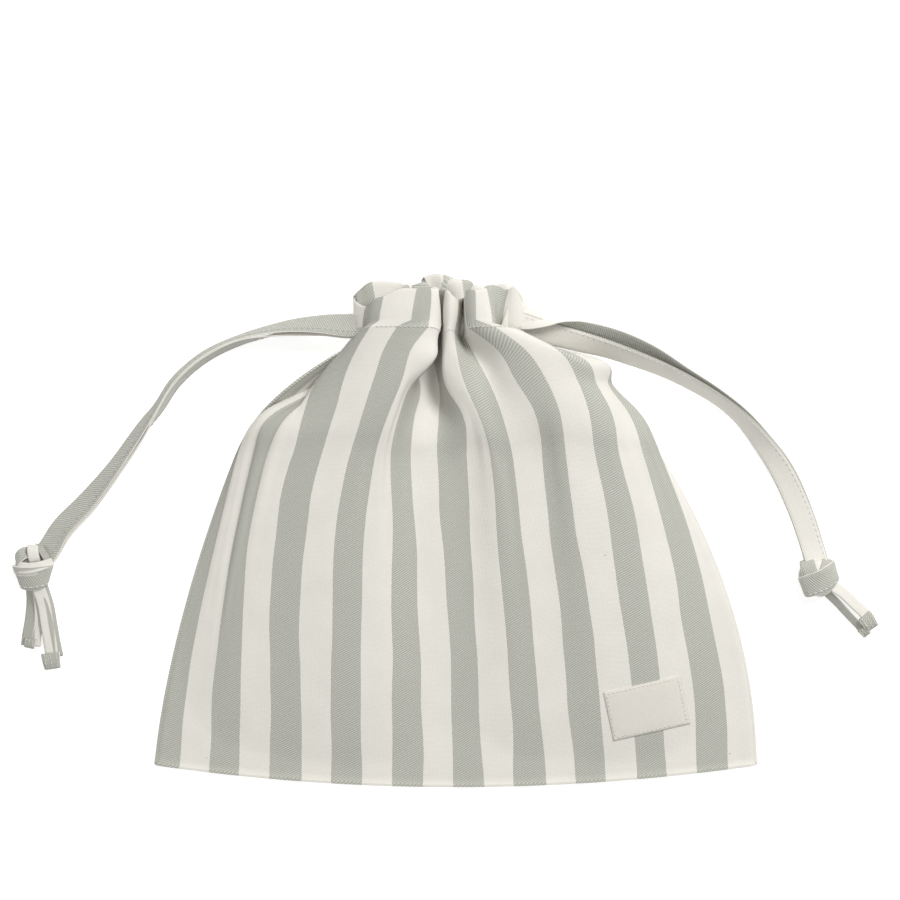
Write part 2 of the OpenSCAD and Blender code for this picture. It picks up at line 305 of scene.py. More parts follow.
COTTON = striped_cotton()
SAGE_TAPE = tape_cloth("sage_faced_tape", True)
CREAM_TAPE = tape_cloth("cream_faced_tape", False)
LABEL = plain("label_ribbon", RIBBON, 0.5 * MM, 0.10)
SEWING = plain("sewing_thread", THREAD, 0.35 * MM)
TAPE_SEWING = {"left": plain("sage_sewing_thread", SAGE_THREAD, 0.35 * MM), "right": SEWING}


def two_coloured(name, body, node, parts):
    """A piece joined from parts that are each sage-faced or cream-faced tape."""
    materials = [SAGE_TAPE, CREAM_TAPE]
    ob = joined(name, [part for _, part in parts])
    for material in materials:
        ob.data.materials.append(material)
    index = np.concatenate([[materials.index(m)] * len(part[1]) for m, part in parts])
    ob.data.polygons.foreach_set("material_index", index.astype(np.int32))
    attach(ob, body)
    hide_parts(node)
    return ob


def dressed(ob, material, body, *nodes, slot):
    ob.data.materials.append(material)
    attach(ob, body)
    if nodes:
        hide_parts(*nodes)
    return ob


# ---------------- strips of tape and stitches
# Across the tape, and up from its middle, as shares of its width and thickness
SECTION = [
    (-0.5, 0.0), (-0.47, 0.36), (-0.32, 0.5), (-0.11, 0.46), (0.11, 0.46), (0.32, 0.5), (0.47, 0.36),
    (0.5, 0.0), (0.47, -0.36), (0.25, -0.5), (0.0, -0.5), (-0.25, -0.5), (-0.47, -0.36),
]


def upwards(n):
    return np.tile([0, 0, 1.0], (n, 1))


def unit(v):
    return v / (np.linalg.norm(v, axis=-1, keepdims=True) + 1e-12)


def strip_parts(points, normals, widths, thick=TAPE_THICK):
    """Points, faces and their cloth places for a flat band with rounded edges."""
    tangent = unit(np.gradient(points, axis=0))
    normal = unit(normals - (normals * tangent).sum(1, keepdims=True) * tangent)
    side = np.cross(tangent, normal)
    widths = np.broadcast_to(widths, (len(points),))
    section = np.array(SECTION)
    p = (points[:, None] + side[:, None] * section[None, :, :1] * widths[:, None, None]
         + normal[:, None] * section[None, :, 1:] * thick)
    up = section[:, 1] >= 0
    around = np.where(up, section[:, 0] + 0.5, 1.5 - section[:, 0]) * TAPE_WIDTH
    return ring_parts(p, np.append(around, 2 * TAPE_WIDTH), along(points))


def ring_parts(p, around, length):
    """Points, faces and their cloth places for a closed band, from its rings of points."""
    n, m = p.shape[:2]
    faces, places = [], []
    for j in range(n - 1):
        for i in range(m):
            k = (i + 1) % m
            faces.append((j * m + i, j * m + k, (j + 1) * m + k, (j + 1) * m + i))
            a, b = around[i], around[i + 1]
            places += [(a, length[j]), (b, length[j]), (b, length[j + 1]), (a, length[j + 1])]
    for j, ring in ((0, range(m - 1, -1, -1)), (n - 1, range(m))):
        faces.append(tuple(j * m + i for i in ring))
        places += [(around[i], length[j]) for i in ring]
    return p.reshape(-1, 3), faces, places


def joined(name, parts):
    points, faces, places, base = [], [], [], 0
    for p, f, w in parts:
        points.append(p)
        faces += [tuple(i + base for i in face) for face in f]
        places += list(w)
        base += len(p)
    return mesh_piece(name, np.concatenate(points), faces, loop_uv=places)


def tilted(rows, n):
    """Even points and face directions from given rows: x, y, z in mm and a lean in degrees.

    A positive lean turns the face to the left of the way the tape runs."""
    rows = np.array(rows, float)
    s = along(rows[:, :3])
    at = np.linspace(0, s[-1], n)
    p = np.stack([curve(s, rows[:, k], at) for k in range(3)], 1) * MM
    lean = np.radians(curve(s, rows[:, 3], at))
    flat = unit(np.gradient(p, axis=0) * [1, 1, 0])
    left = np.stack([-flat[:, 1], flat[:, 0], 0 * lean], 1)
    normal = left * np.sin(lean)[:, None] + np.array([0, 0, 1]) * np.cos(lean)[:, None]
    return p, normal


def stitches(points, normals, offset, lift, stitch=2.3 * MM, gap=1.3 * MM, wide=0.55 * MM):
    """A row of stitches beside a line: offset across it, lifted along the face's direction."""
    tangent = unit(np.gradient(points, axis=0))
    normal = unit(normals - (normals * tangent).sum(1, keepdims=True) * tangent)
    line = points + np.cross(tangent, normal) * offset + normal * lift
    d = along(line)
    parts, at = [], gap
    while at + stitch < d[-1]:
        t = at + stitch * np.array([0, 0.12, 0.5, 0.88, 1.0])
        p = np.stack([np.interp(t, d, line[:, k]) for k in range(3)], 1)
        up = np.stack([np.interp(t, d, normal[:, k]) for k in range(3)], 1)
        p += up * (np.array([-0.35, 0.05, 0.15, 0.05, -0.35]) * MM)[:, None]
        parts.append(strip_parts(p, up, wide * np.array([0.5, 0.9, 1, 0.9, 0.5]), 0.35 * MM))
        at += stitch + gap
    return parts


# ---------------- the free ends of the drawstrings
LEFT_FRONT_LINE = [
    (-44, 127, 21, 0), (-60, 123.3, 20.5, -6), (-79, 123.9, 19, -34), (-90, 123.8, 16, -46),
    (-101, 122.9, 13, -57), (-114, 120.7, 10, -68), (-127.4, 117.3, 8, -75), (-152.4, 105.8, 7.6, -75),
    (-169, 91, 7.4, -73), (-180.4, 73.3, 7.2, -69), (-184.8, 67.2, 6.8, -62), (-205.8, 37.3, 5.8, -48),
    (-222, 17.5, 4.6, -31), (-236.3, 2.5, 4.4, -24), (-245.2, -12.4, 5, -10), (-250, -19, 6.5, 0),
]
LEFT_BACK_LINE = [
    (-44, 126.5, 18, 180), (-60, 122.4, 17.8, 172), (-79, 122.6, 16.6, 148), (-90, 121.4, 13.6, 130),
    (-101, 119.6, 10.6, 110), (-114, 116.8, 8.8, 92), (-127, 113.9, 7.8, 82), (-150, 102.9, 7.6, 80),
    (-166.2, 88.5, 7.5, 81), (-178, 70.5, 7.2, 86), (-182.6, 63.8, 6.8, 96), (-204.4, 36.2, 5.4, 130),
    (-220.9, 16.5, 3.8, 149), (-235.3, 1.6, 3.2, 157), (-244.8, -12.6, 3.2, 170), (-250, -19, 4.2, 180),
]
RIGHT_FRONT_LINE = [
    (28, 127, 21, 0), (42, 122.5, 19, -8), (56.3, 118.4, 14.5, -18), (72, 114.4, 10, -28),
    (89.8, 109.6, 9, -42), (106, 103.9, 9.4, -48), (123.3, 97.2, 8.2, -55), (142, 88, 7.8, -60),
    (160.6, 76.3, 7.6, -62), (173, 65.5, 6.8, -54), (182.5, 54.5, 5.4, -40), (192.4, 40.8, 4.2, -24),
    (205.4, 14.4, 3.0, -4), (213.4, -9, 3.4, 0), (217, -22, 6, 0),
]
RIGHT_BACK_LINE = [
    (28, 127.5, 17, -166), (42, 126.6, 18.5, -154), (52, 125.8, 18.5, -124), (61, 124.6, 16.5, -84),
    (70, 122.6, 13.5, -58), (80.2, 120, 11.6, -46), (97.5, 115.2, 9.4, -45), (116.4, 107.1, 8, -50),
    (135.3, 95.2, 7, -54), (155.6, 82, 5.8, -54), (171, 69, 4.4, -46), (183.4, 54.2, 3, -32),
    (193.6, 40.4, 2.0, -16), (206.2, 14.4, 1.3, 0), (213.6, -9, 1.6, 0), (216.4, -22, 3.4, 0),
]
KNOT_AT = {"left": (-252.5, -21), "right": (217, -26)}
END_POINTS = 150
STITCH_OFFSET = {("left", "front"): -4.0 * MM, ("left", "back"): -4.0 * MM,
                 ("right", "front"): -5.0 * MM, ("right", "back"): 5.0 * MM}


def free_end(side, layer, line, material):
    p, normal = tilted(line, END_POINTS)
    ob = joined(f"{side}_{layer}_end_tape", [strip_parts(p, normal, TAPE_WIDTH)])
    ob.data.materials.append(material)
    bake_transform(ob)
    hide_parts(f"{side}_{layer}_end")
    sewn = joined(f"{side}_{layer}_end_stitching",
                  stitches(p, normal, STITCH_OFFSET[side, layer], TAPE_THICK / 2))
    sewn.data.materials.append(TAPE_SEWING[side])
    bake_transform(sewn)
    return ob, sewn, p


# Bands of a knot: x, y, z from its middle on the table, which way the face looks, and its width, mm
LEFT_KNOT = {
    "wrap": (SAGE_TAPE, [
        (-6, -4.5, 2, -.7, -.3, -.7, 11), (-9.6, -4.6, 5, -1, -.4, -.1, 13),
        (-8.6, -5.4, 9.4, -.8, -.4, .55, 14.5), (-4, -6.3, 12.2, -.3, -.3, .9, 15),
        (1.5, -6.2, 13, .1, -.3, 1, 15), (6.5, -5.2, 11.4, .6, -.3, .8, 14.5),
        (9.8, -3.9, 8, 1, -.35, .3, 13), (9.4, -3.4, 4, 1, -.3, -.3, 12),
        (6, -3.4, 2, .6, -.3, -.8, 11),
    ]),
    "band": (CREAM_TAPE, [
        (-8, 0, 3.4, -1, .1, -.4, 7), (-10.4, 0.4, 7, -1, .2, .3, 7.5), (-7, 0, 12, -.6, .2, .8, 7.6),
        (-1, -.2, 14.2, 0, .2, 1, 7), (5, 1, 13.6, .3, .3, 1, 6.2), (9.6, 2.7, 10.4, .8, .4, .6, 5.4),
        (11, 3.4, 6.6, 1, .3, 0, 5), (9, 3.4, 3, .8, .3, -.6, 5),
    ]),
    "second_band": (CREAM_TAPE, [
        (-8, -2.6, 4, -1, -.2, -.3, 4), (-10.2, -2.4, 8, -1, -.2, .3, 4),
        (-6.4, -3.2, 12.6, -.5, -.4, .9, 4), (-1, -3.3, 14.2, 0, -.4, 1, 3.6),
        (5, -1.8, 13.4, .4, -.5, 1, 3.2), (9.6, .2, 9.8, .9, -.3, .5, 3), (10.6, 1, 6, 1, -.2, -.1, 3),
    ]),
    "left_loop": (SAGE_TAPE, [
        (0, 7, 5, .2, .9, .5, 8), (-3.4, 9.2, 8.4, -.2, .6, .8, 9), (-7, 7.4, 9.6, -.5, .4, .8, 9),
        (-9.6, 4, 8, -.9, .2, .5, 9), (-9, .5, 5, -1, 0, 0, 8),
    ]),
    "bight": (CREAM_TAPE, [
        (2, 2, 10, 0, .3, 1, 7), (1.2, 6, 11.8, 0, .2, 1, 7), (.4, 10.4, 10.8, 0, .6, .8, 7),
        (0, 13, 7.4, 0, 1, .2, 7), (.4, 12.4, 3.6, 0, .9, -.5, 7),
    ]),
    "edge_loop": (SAGE_TAPE, [
        (2.4, 13.4, 4, .2, .9, 0, 4), (4, 12.4, 8, .4, .6, .7, 4), (6.4, 9.2, 10, .6, .4, .8, 4.4),
        (8.6, 5.4, 9.4, .8, .2, .6, 4.6), (10, 2, 6, 1, 0, .1, 4.6),
    ]),
}
RIGHT_KNOT = {
    "wrap": (SAGE_TAPE, [
        (-6, -6.4, 2, -.6, -.2, -.8, 11), (-10, -6.8, 5, -1, -.4, -.1, 12),
        (-8.6, -6.4, 9, -.8, -.2, .6, 13), (-4, -4.8, 12, -.3, 0, 1, 13.5),
        (1.4, -2.4, 13.2, 0, -.1, 1, 13.5), (6, .6, 12, .5, .1, .9, 13), (9, 3, 8.6, .9, .3, .5, 12),
        (9.6, 4.4, 4.6, 1, .3, -.2, 11), (6, 4, 2, .6, .2, -.8, 10),
    ]),
    "edge_band": (CREAM_TAPE, [
        (-3, -11, 4, -.4, -.9, 0, 6), (-.6, -10.6, 7.2, -.1, -.7, .6, 6),
        (4, -8.6, 9.2, .3, -.6, .8, 6), (8.4, -5.6, 8, .7, -.5, .5, 6), (10.4, -3.4, 4.4, 1, -.3, 0, 6),
    ]),
    "left_loop": (SAGE_TAPE, [
        (-7, 9, 3.4, -.2, .9, .3, 9), (-7, 6.6, 7.4, -.3, .5, .9, 9.6), (-6, 2.6, 9.8, -.3, .2, 1, 9.6),
        (-5.4, -1.4, 9.6, -.3, -.2, 1, 9.6),
    ]),
    "side_loop": (SAGE_TAPE, [
        (-10.6, 3, 3, -1, .2, 0, 7), (-10.4, 1, 6.4, -.9, .1, .5, 7.6),
        (-8.6, -2.4, 8.6, -.6, 0, .9, 7.6), (-5.6, -5.4, 9.4, -.2, 0, 1, 7),
    ]),
    "right_loop": (SAGE_TAPE, [
        (5.4, 9.6, 3.4, .2, .9, .2, 7), (4.6, 7.4, 7.6, .2, .5, .9, 7.6), (3, 3.6, 10.6, 0, .3, 1, 7.6),
        (1, 0, 11, 0, 0, 1, 7),
    ]),
}
KNOT_CORE = (8.2, 9.5, 5.2)  # half the core's size, hidden among the bands
CORE_GRID = (13, 24)  # the core's rings and the points of each
BAND_POINTS, KNOT_THICK = 28, 1.5 * MM
TAIL_POINTS, TAIL_THICK = 34, 1.2 * MM
TIP_POINTS, TIP_THICK = 10, 2.2 * MM
# The loose tails below a knot, each tape folded along: one or two strips, x, y, z in mm and a lean
TAILS = {
    "left_front_tail": [(CREAM_TAPE, 8.0, [
        (-249.5, -32, 9, 10), (-246.5, -42, 6, 12), (-244.5, -55, 4.6, 14), (-242.8, -66, 4, 10),
        (-241.6, -74.5, 3.4, 0),
    ]), (SAGE_TAPE, 5.6, [
        (-246.4, -32, 6.4, 34), (-243.2, -43, 4.6, 34), (-241, -56, 3.6, 34), (-239.2, -67, 3, 30),
        (-237.8, -74.5, 2.6, 20),
    ])],
    "left_back_tail": [(SAGE_TAPE, 8.6, [
        (-253.6, -33, 5.6, -26), (-253.4, -42, 3.6, -22), (-254.4, -52, 2.6, -20),
        (-256, -62, 2.4, -16), (-256.6, -68, 2.2, -10),
    ]), (CREAM_TAPE, 5.6, [
        (-250.6, -34, 6.6, 12), (-249.6, -44, 4.6, 14), (-249.8, -54, 3.4, 14), (-251.4, -64, 2.8, 8),
        (-251.8, -68.4, 2.6, 0),
    ])],
    "right_front_tail": [(CREAM_TAPE, 7.4, [
        (223.4, -31, 7.4, 24), (231, -36, 5.6, 26), (238, -42.4, 4.6, 26), (244.6, -48.6, 4, 20),
        (248, -52.4, 3.6, 10),
    ])],
    "right_back_tail": [(SAGE_TAPE, 5.4, [
        (222, -36.4, 5, -34), (228, -42, 3.4, -36), (234.6, -49, 2.8, -36), (241, -55.6, 2.8, -30),
        (245, -60, 2.8, -16),
    ])],
}
# A sewn-over tip at the end of a tail
TIPS = {
    "left_front_tail": (11.5, [(-242.6, -72.2, 5.2, 0), (-242, -77, 5, 6), (-241.4, -81.4, 3.2, 0)]),
    "left_back_tail": (7.5, [
        (-254.6, -63.6, 3.8, -10), (-255.2, -66.4, 3.6, -10), (-255.6, -69, 2.6, -8),
    ]),
    "right_front_tail": (9.5, [
        (243.8, -49.6, 5.6, 10), (247, -53.8, 5.4, 6), (249.2, -57.2, 3.4, 0),
    ]),
    "right_back_tail": (6.0, [
        (242.4, -57.4, 3.6, -20), (244.6, -59.6, 3.4, -14), (246.2, -61.4, 2.4, -8),
    ]),
}


def knot(side, bands):
    x, y = KNOT_AT[side]
    bent = []
    for material, rows in bands.values():
        rows = np.array(rows, float)
        s = along(rows[:, :3])
        fine = curve(s, rows, np.linspace(0, s[-1], BAND_POINTS))
        p, normal = (fine[:, :3] + (x, y, 0)) * MM, unit(fine[:, 3:6])
        bent.append((material, strip_parts(p, normal, fine[:, 6] * MM, KNOT_THICK), p, normal))
    down, round_it = CORE_GRID
    a, b = np.meshgrid(np.linspace(0, math.pi, down),
                       np.linspace(0, 2 * math.pi, round_it, endpoint=False), indexing="ij")
    shape = np.stack([np.sin(a) * np.cos(b), np.sin(a) * np.sin(b), np.cos(a)], -1).reshape(-1, 3)
    ball = (shape * KNOT_CORE + (x, y, KNOT_CORE[2] + 1)) * MM
    faces = [tuple(f) for f in grid_faces(down, round_it, closed=True)]
    places = [tuple(ball[i, :2]) for f in faces for i in f]
    parts = [(SAGE_TAPE, (ball, faces, places))] + [(m, part) for m, part, _, _ in bent]
    ob = two_coloured(f"{side}_knot_tape", f"{side}_ends", f"{side}_knot", parts)
    _, _, p, normal = bent[0]  # the wrap, stitched except near its ends
    sewn = joined(f"{side}_knot_stitching", stitches(p[6:-6], normal[6:-6], 5.2 * MM, 0.75 * MM))
    dressed(sewn, SEWING, f"{side}_ends", slot="thread")
    return ob, sewn


def tail(node):
    side = node.split("_")[0]
    parts = []
    for material, width, rows in TAILS[node]:
        p, normal = tilted(rows, TAIL_POINTS)
        parts.append((material, strip_parts(p, normal, width * MM, TAIL_THICK)))
    width, rows = TIPS[node]
    p, normal = tilted(rows, TIP_POINTS)
    fold = width * MM * np.linspace(1, 0.86, TIP_POINTS)
    parts.append((SAGE_TAPE, strip_parts(p, normal, fold, TIP_THICK)))
    ob = two_coloured(f"{node}_tape", f"{side}_ends", node, parts)
    threads = []
    for offset in (-0.3, 0.0, 0.3):
        threads += stitches(p, normal, offset * width * MM, 1.15 * MM, 1.6 * MM, 0.7 * MM, 0.45 * MM)
    sewn = joined(f"{node}_stitching", threads)
    dressed(sewn, SEWING, f"{side}_ends", slot="thread")
    return ob, sewn


for side, bands, lines in (
    ("left", LEFT_KNOT, (("front", LEFT_FRONT_LINE, SAGE_TAPE), ("back", LEFT_BACK_LINE, SAGE_TAPE))),
    ("right", RIGHT_KNOT,
     (("front", RIGHT_FRONT_LINE, CREAM_TAPE), ("back", RIGHT_BACK_LINE, SAGE_TAPE))),
):
    knotted = knot(side, bands)
    for layer, line, material in lines:
        loose = tail(f"{side}_{layer}_tail")
        ob, sewn, path = free_end(side, layer, line, material)


# ---------------- how the cloth is gathered
# Stripe edges across the front, from the left seam to the right one
STRIPE_COUNT = 20
EDGES = np.array([0] + [FIRST_STRIPE + STRIPE * k for k in range(STRIPE_COUNT - 1)] + [2 * HALF_WIDTH])
CLOTH_WIDTH = 2 * HALF_WIDTH
# Sideways place and height of each stripe edge of the front, where the bag is still wide, mm
SHOULDER_SHARE = 0.73
SHOULDER = [
    (-130, 7), (-129, 12), (-121, 17), (-112, 20), (-97, 22), (-80, 24), (-62, 26), (-47, 25),
    (-39, 21), (-27, 14), (-11, 13), (6, 14), (21, 20), (34, 21), (51, 22), (64, 26), (82, 26),
    (98, 24), (112, 18), (121, 12), (120, 6),
]
# The same under the shoulder folds, and at the throat, where the folds are deepest
FOLD_SHARE = 0.825
FOLD = [
    (-115.5, 8), (-113.5, 13), (-108, 17), (-99, 19), (-90, 19), (-72, 23), (-54, 28), (-38, 29),
    (-33.5, 24), (-25, 12), (-10, 8), (3.5, 19), (12.5, 22), (27, 21), (45, 26), (60, 29), (78, 27),
    (93, 22), (103, 15), (110, 8), (105, 5),
]
THROAT_SHARE = 0.885
THROAT = [
    (-99, 15), (-86, 6), (-79, 5), (-81, 10), (-84, 16.5), (-67, 23.5), (-49, 29), (-31, 31),
    (-27.5, 24), (-21, 7), (-9.5, 3.5), (-6.5, 19), (5, 24), (21, 20), (35, 26), (53, 30), (72, 28),
    (84, 22), (91, 15), (94.5, 8), (87, 4),
]
# The same where the folds meet under the casings and the right shoulder spills over
COLLAR_SHARE = 0.96
COLLAR = [
    (-72, 13), (-68.5, 11), (-58, 9), (-61, 10), (-68, 19), (-57.5, 27), (-41, 31), (-24, 32),
    (-10.5, 28), (-26, 8), (-13, 3), (-8.3, 21.5), (0.4, 23.5), (11, 15), (22, 27), (38, 31), (58, 30),
    (69, 26), (77, 18), (76, 9), (68, 7),
]
# Across the cloth, sideways place and height where the casing is stitched, mm
NECK = [
    (0, -54, 10), (8, -60, 13), (16, -60, 19), (24, -54, 20), (36, -47, 13), (50, -50, 12),
    (60, -58, 16), (68.6, -56, 20), (74, -57, 23.5), (80, -55, 28), (86.8, -50.5, 30.5), (96, -42, 32),
    (105, -34.5, 32.5), (114, -25, 32.5), (123.2, -15.5, 30.5), (130, -10, 26.5), (136, -10, 21),
    (141.4, -13, 15), (150.5, -21, 12), (159.6, -27, 9), (164, -26, 6), (172, -20, 4.5),
    (177.8, -15, 4.5), (187, -10.5, 8), (196, -8.2, 17), (201, -7.2, 23), (206, -4.6, 26),
    (211, -2.2, 24.5), (214.2, -1.2, 21.5), (222, 1.4, 14.5), (228, 2.4, 10), (232.4, 4.4, 12),
    (241, 5.8, 20), (246, 6.0, 25.5), (250.6, 6.2, 28.6), (258, 11.5, 31.6), (268.8, 21.5, 32),
    (278, 29.5, 30), (287, 36.5, 25.5), (294, 40.5, 20), (300, 38, 15.5), (305.2, 33, 14.5),
    (314, 25, 14), (323.4, 16, 13), (327, 15, 11), (332, 20, 9.5), (341.6, 29, 9.5), (350, 37, 9.5),
    (360, 46, 10),
]
# The same at the folded top of the casing, with how high up the bag the top lies
CROWN = [
    (0, -40, 10, 145), (14, -33, 13, 146), (24, -36, 18, 148), (32, -49, 19, 148), (41, -56, 18, 144),
    (50, -61, 19, 139), (60, -58, 22, 134.5), (68.6, -53.5, 27, 133), (78, -48, 29, 137.5),
    (86.8, -42.5, 30.5, 139), (96, -33, 32, 143), (105, -23, 32.5, 143), (112, -18.5, 31.5, 143),
    (119, -15.5, 27, 144), (123.2, -14.5, 24, 144), (132, -10.5, 20, 144), (141.4, -13, 15, 145),
    (150, -20, 13, 145), (160, -24, 11, 145), (170, -17, 10, 145), (178, -11, 11, 144),
    (190, -6.8, 17, 143), (196, -6.6, 22, 142.5), (203, -4.6, 26, 141.5), (209, -1.4, 26, 139),
    (214.2, 1.2, 23.5, 137), (220, 3, 19, 137), (228, 3.8, 13, 138), (232.4, 4.4, 13, 139),
    (240, 5.2, 20, 141), (247, 5.4, 26, 142), (250.6, 5.6, 28.5, 142.4), (258, 7.6, 30.5, 142.5),
    (268.8, 11, 31, 142.5), (278, 14.5, 30, 142.5), (287, 17.5, 27, 143.5), (292, 20, 23, 145.5),
    (298, 25, 20, 145.5), (305.2, 30, 20, 143), (310, 33.5, 22, 145), (316, 37, 22, 141.5),
    (323.4, 39, 19, 137), (332, 36, 14, 136), (341.6, 28, 12, 140), (350, 33, 9, 140),
    (360, 40, 9, 136),
]
# The same just above the stitches, where the casing springs back
BASE = [
    (0, -50, 10), (14, -44, 13), (24, -40, 17), (32, -44, 17), (41, -50, 15), (50, -57, 14),
    (56, -60.5, 17), (62, -59, 21), (68.6, -55, 24), (80, -50, 28.5), (86.8, -45.5, 30.5),
    (96, -36, 32), (105, -26.5, 32), (114, -20.5, 31.5), (123.2, -15.5, 29.5), (132, -10, 24),
    (136, -8.6, 19), (141.4, -12, 15), (150.5, -20, 12), (160, -25, 9), (170, -20, 6), (178, -14, 6),
    (187, -9.4, 9), (196, -7.8, 18), (201, -6.6, 23), (206, -4.2, 26), (211, -1.8, 24.5),
    (214.2, -0.6, 22), (222, 1.6, 15), (228, 2.6, 11), (232.4, 4.4, 12), (241, 5.6, 20),
    (246, 5.8, 25.5), (250.6, 6, 28.6), (258, 8, 31), (268.8, 11.5, 31.6), (278, 15.8, 30.5),
    (287, 20.3, 28), (292, 23.5, 25), (297, 22.5, 20), (305.2, 25, 18), (312, 33, 21.5),
    (319, 39.5, 21), (326, 41, 16), (332, 37, 12), (341.6, 32, 10), (350, 37, 9.5), (360, 44, 10),
]
BASE_RISE = 2.5 * MM
BACK_FOLDS = 11
BACK_Z = 0.8 * MM
BACK_SWING = (0, 1.5, 3, 5, 7.5, 9)  # height of the back's folds at each level, mm
HOLLOW_AT, HOLLOW_WIDE = 0.37, 0.13  # where the front sinks, and the back has to lie flat
BOTTOM_Z = 1.2 * MM
# How late each stripe edge draws in on its way up: the sides at once, the middle only near the top
WIDENING = (1.4, 1.45, 1.8, 3.5, 5, 5, 5, 5, 3, 1.6, 1.6, 1.1, 1.3, 1.2, 1.1, 1.3, 1.5, 1.6, 1.8, 2, 2)
SWELLING = 0.6  # how soon it gains height on its way up


def levels(u):
    """The front's place and height across it: bottom, shoulder, folds, throat, collar and neck."""
    place, height = [u - HALF_WIDTH], [np.full_like(u, BOTTOM_Z)]
    for edges in (SHOULDER, FOLD, THROAT, COLLAR):
        edges = np.array(edges, float) * MM
        place.append(curve(EDGES, edges[:, 0], u))
        height.append(curve(EDGES, edges[:, 1], u))
    neck = np.array(NECK, float) * MM
    place.append(curve(neck[:, 0], neck[:, 1], u))
    height.append(curve(neck[:, 0], neck[:, 2], u))
    return np.array(place), np.array(height)


def back_levels(u):
    """The same for the back, which lies on the table and is gathered into even folds.

    It lies flat under the hollow of the front, which would touch its folds."""
    place, height = levels(np.array([0, CLOTH_WIDTH]))
    t = u / CLOTH_WIDTH
    wave = 0.5 - 0.5 * np.cos(2 * math.pi * BACK_FOLDS * t)
    ends = smooth(np.minimum(t, 1 - t), 0, 0.08)
    swing = np.array(BACK_SWING) * MM
    wave = wave * (1 - np.exp(-(((t - HOLLOW_AT) / HOLLOW_WIDE) ** 2)))
    places = place[:, :1] + (place[:, 1:] - place[:, :1]) * t
    edge = height[:, :1] + (height[:, 1:] - height[:, :1]) * t
    return places, edge * (1 - ends) + ends * (BACK_Z + swing[:, None] * wave)


def bottom_edge(u):
    return BOTTOM_Y + BOTTOM_BOW * (u / HALF_WIDTH - 1) ** 2


RIDGE_Z = 31 * MM
STITCH_DIP = 0.3  # the stitches sink lower where a fold goes deeper
UPPER_SHARES = (SHOULDER_SHARE, FOLD_SHARE, THROAT_SHARE, COLLAR_SHARE, 1.0)


def gathered(u, share, across):
    """Points of a panel: rows up the bag by share, columns across it by u."""
    place, height = across(u)
    late = curve(EDGES, WIDENING, u)
    lower = share[share <= SHOULDER_SHARE, None] / SHOULDER_SHARE
    upper = share[share > SHOULDER_SHARE]
    below = 0.02  # just under the shoulder, so that the slope carries on
    keys = (SHOULDER_SHARE * (1 - below), *UPPER_SHARES)
    x_low = place[0] + (place[1] - place[0]) * lower ** late
    z_low = height[0] + (height[1] - height[0]) * lower ** SWELLING
    x_key = np.vstack([place[0] + (place[1] - place[0]) * (1 - below) ** late, place[1:]])
    z_key = np.vstack([height[0] + (height[1] - height[0]) * (1 - below) ** SWELLING, height[1:]])
    x = np.vstack([x_low, curve(keys, x_key, upper)])
    z = np.vstack([z_low, curve(keys, z_key, upper)])
    y0 = bottom_edge(u)
    dip = STITCH_DIP * np.maximum(0, RIDGE_Z - height[-1])
    y = y0 + share[:, None] * (STITCH_Y - dip - y0)
    return np.stack([x, y, z], 2)


# ---------------- cloth simulation
TAKEN_IN = 0.94  # share of the gathered width that the folds take up
TAUT = 0.98  # the threads that run up the bag are drawn a little tight
CLOTH_GAP, TABLE_GAP = 1.2 * MM, 0.5 * MM  # least height of front over back, and of both over the table


